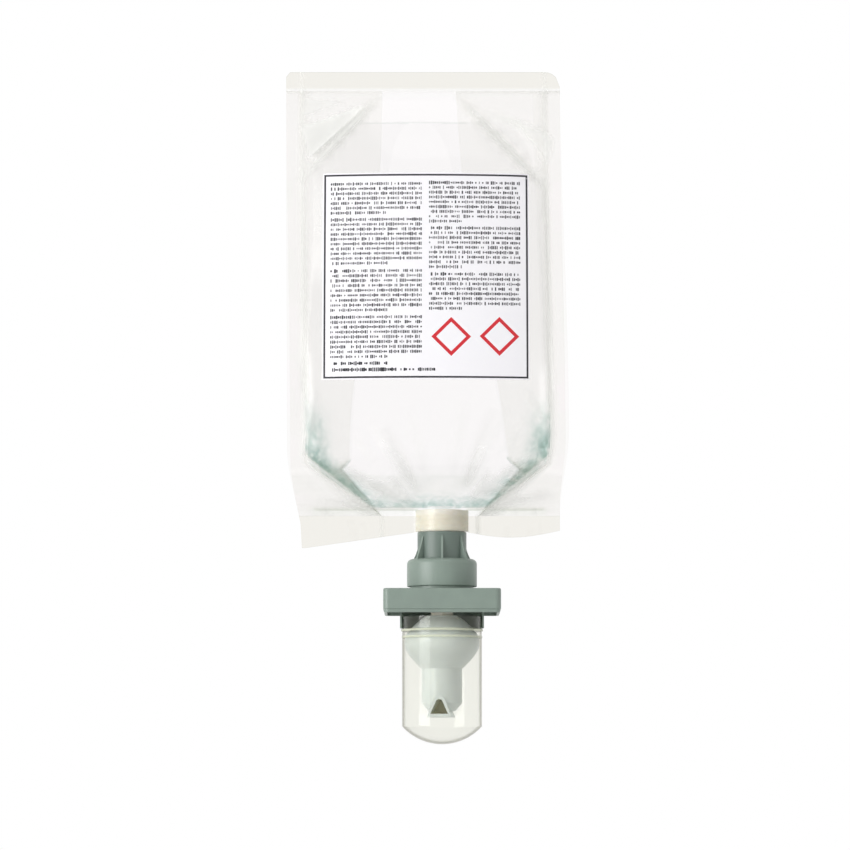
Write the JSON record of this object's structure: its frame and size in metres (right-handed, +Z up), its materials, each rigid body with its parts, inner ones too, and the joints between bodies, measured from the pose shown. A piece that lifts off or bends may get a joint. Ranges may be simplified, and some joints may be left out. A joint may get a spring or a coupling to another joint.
{
  "type": "foaming cleaner refill cartridge",
  "caption": "Clear film pouch of foaming cleaner over a foam pump with a grey flange plate, white nozzle and clear dust cap.",
  "frame": {"origin": "pump axis at the flange plate's underside", "axes": "+Z up the pump axis to the pouch's top seal, -Y out of the labelled panel, +X to the right seen from the front"},
  "size_m": [0.1163, 0.0662, 0.2784],
  "materials": {
    "clear_film": "clear, glossy, creased film",
    "label": "smooth printed label",
    "cleaner": "clear liquid",
    "natural_plastic": "natural moulded polyethylene",
    "grey_plastic": "satin moulded polypropylene",
    "white_plastic": "satin moulded polypropylene",
    "clear_plastic": "clear, thin, glossy moulding",
    "silicone": "soft moulded silicone",
    "spring_steel": "drawn wire",
    "gauze": "woven nylon gauze"
  },
  "bodies": {
    "root": {"pouch_film": "clear_film", "pouch_label": "label", "cleaner_liquid": "cleaner", "spout_fitment": "natural_plastic", "neck_gasket": "silicone", "neck_collar": "grey_plastic", "flange_plate": "grey_plastic", "pump_cylinder": "natural_plastic", "inlet_valve": "silicone", "return_spring": "spring_steel"},
    "foam_head": {"nozzle_head": "white_plastic", "mesh_holder": "natural_plastic", "coarse_screen": "gauze", "fine_screen": "gauze", "piston_stem": "natural_plastic", "liquid_piston_seal": "silicone", "outlet_valve": "silicone", "air_piston": "natural_plastic", "air_valve": "silicone"},
    "cap": {"dust_cap": "clear_plastic"}
  },
  "joints": [
    {"name": "pump_stroke", "type": "slide", "parent": "root", "child": "foam_head", "axis": [0, 0, 1], "range_m": [0, 0.006], "stiffness_N_per_m": 500, "springref_m": -0.012, "deforming": ["return_spring"]},
    {"name": "cap_pull", "type": "slide", "parent": "root", "child": "cap", "axis": [0, 0, -1], "range_m": [0, 0.06]}
  ]
}
